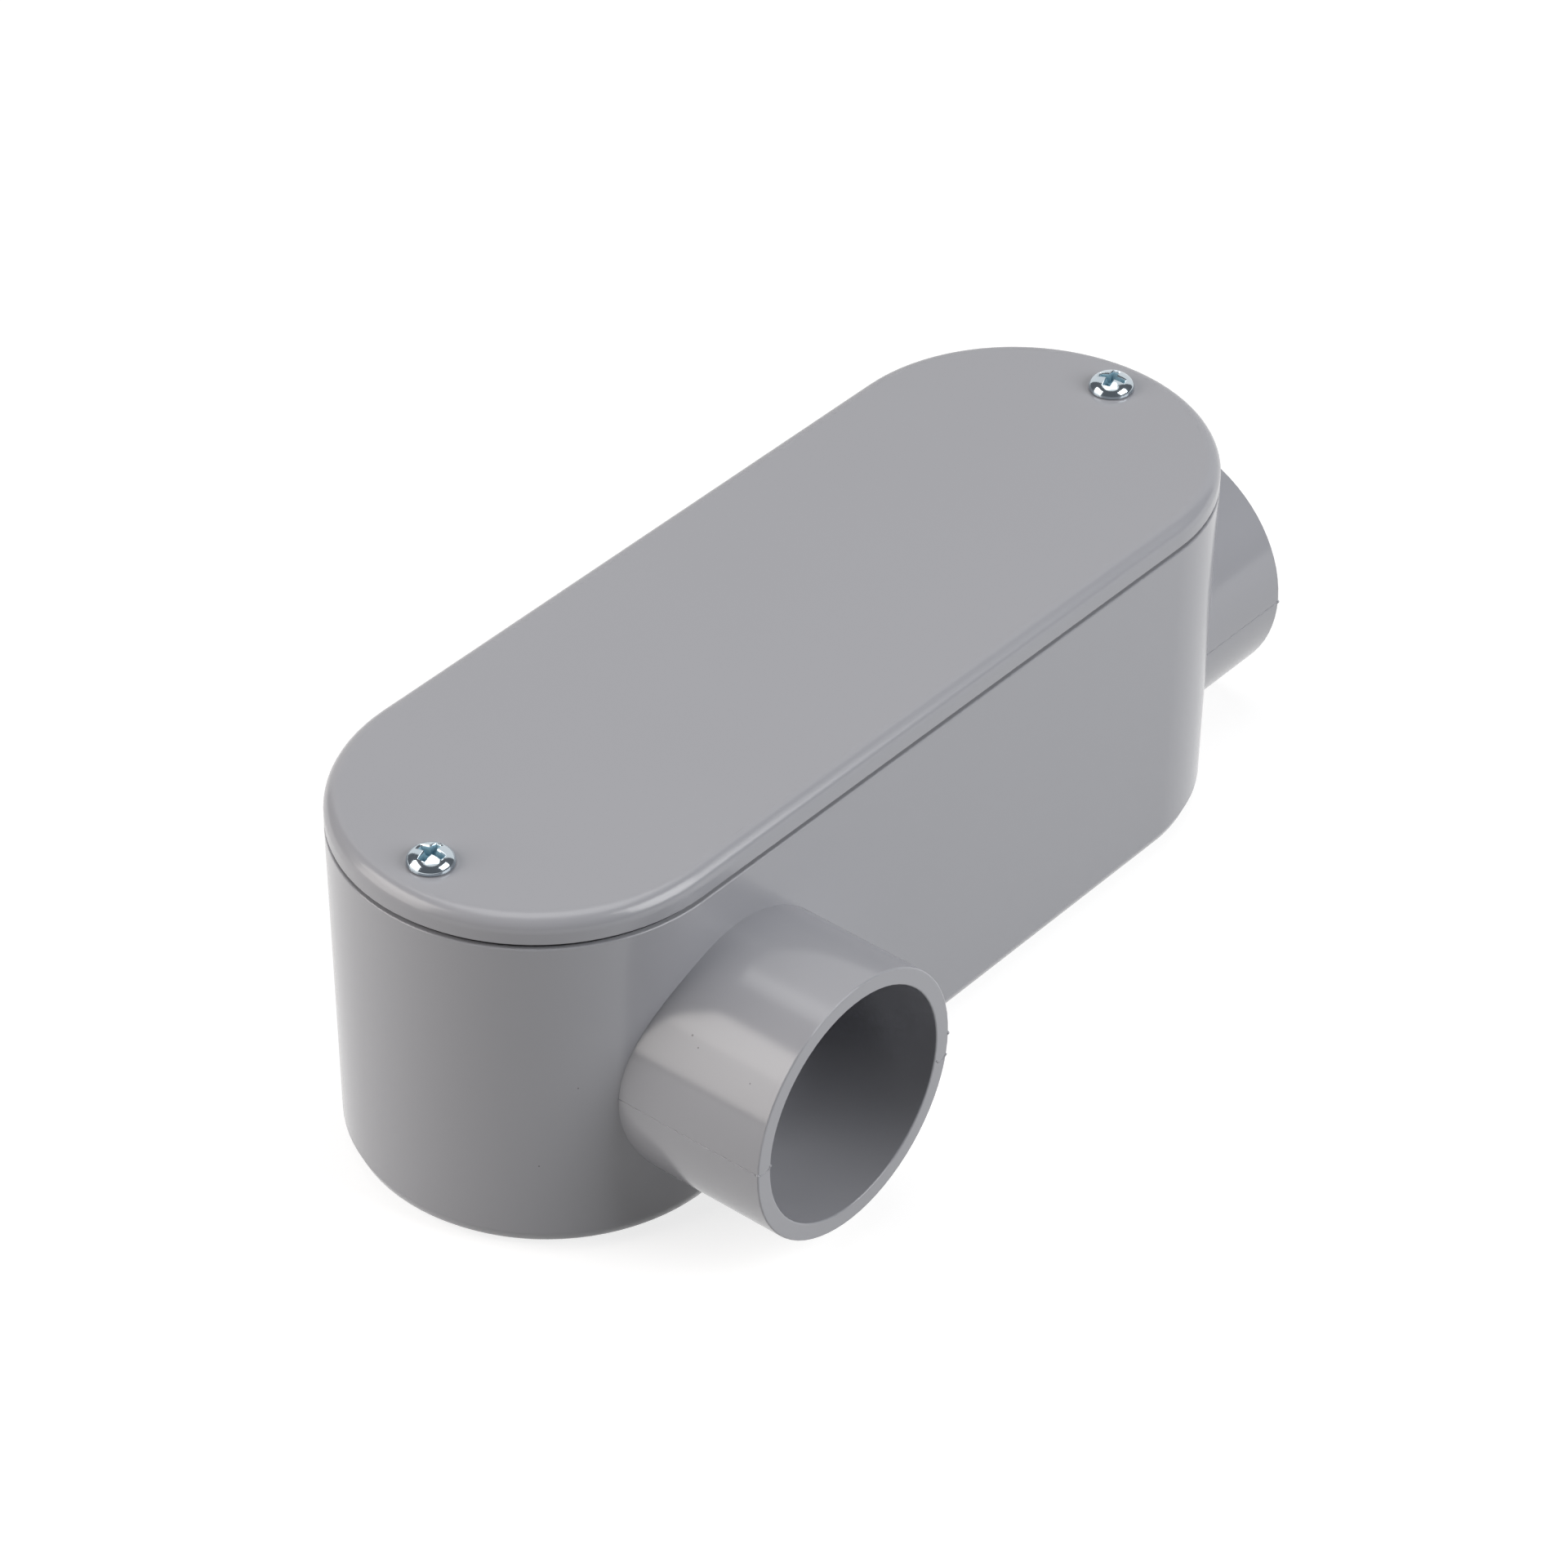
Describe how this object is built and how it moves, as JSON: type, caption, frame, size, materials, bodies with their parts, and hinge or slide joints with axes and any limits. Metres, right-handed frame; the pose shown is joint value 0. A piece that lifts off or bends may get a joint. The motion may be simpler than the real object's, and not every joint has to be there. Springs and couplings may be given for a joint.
{
  "type": "conduit body",
  "caption": "Conduit body of grey PVC, type LR: a round-ended box with a socket in its end and one in its side, and a screwed cover on a gasket that gives access to the wires.",
  "frame": {"origin": "middle of the flat back face", "axes": "+X along the box, out of the end socket; -Y out of the side socket; +Z out through the cover"},
  "size_m": [0.2391, 0.1086, 0.0834],
  "materials": {
    "moulded_pvc": "semi-gloss grey rigid PVC, as moulded",
    "gasket_foam": "dark closed-cell rubber sheet, die-cut",
    "zinc_plated_steel": "bright zinc plate with a slight blue cast"
  },
  "bodies": {
    "conduit_box": {"body": "moulded_pvc"},
    "cover_set": {"cover": "moulded_pvc", "gasket": "gasket_foam"},
    "near_screw": {"cover_screw_near": "zinc_plated_steel"},
    "far_screw": {"cover_screw_far": "zinc_plated_steel"}
  },
  "joints": [
    {"name": "cover_lift", "type": "slide", "parent": "conduit_box", "child": "cover_set", "axis": [0, 0, 1], "range_m": [0, 0.04]},
    {"name": "near_screw_travel", "type": "slide", "parent": "cover_set", "child": "near_screw", "axis": [0, 0, 1], "range_m": [0, 0.012]},
    {"name": "far_screw_travel", "type": "slide", "parent": "cover_set", "child": "far_screw", "axis": [0, 0, 1], "range_m": [0, 0.012]}
  ]
}
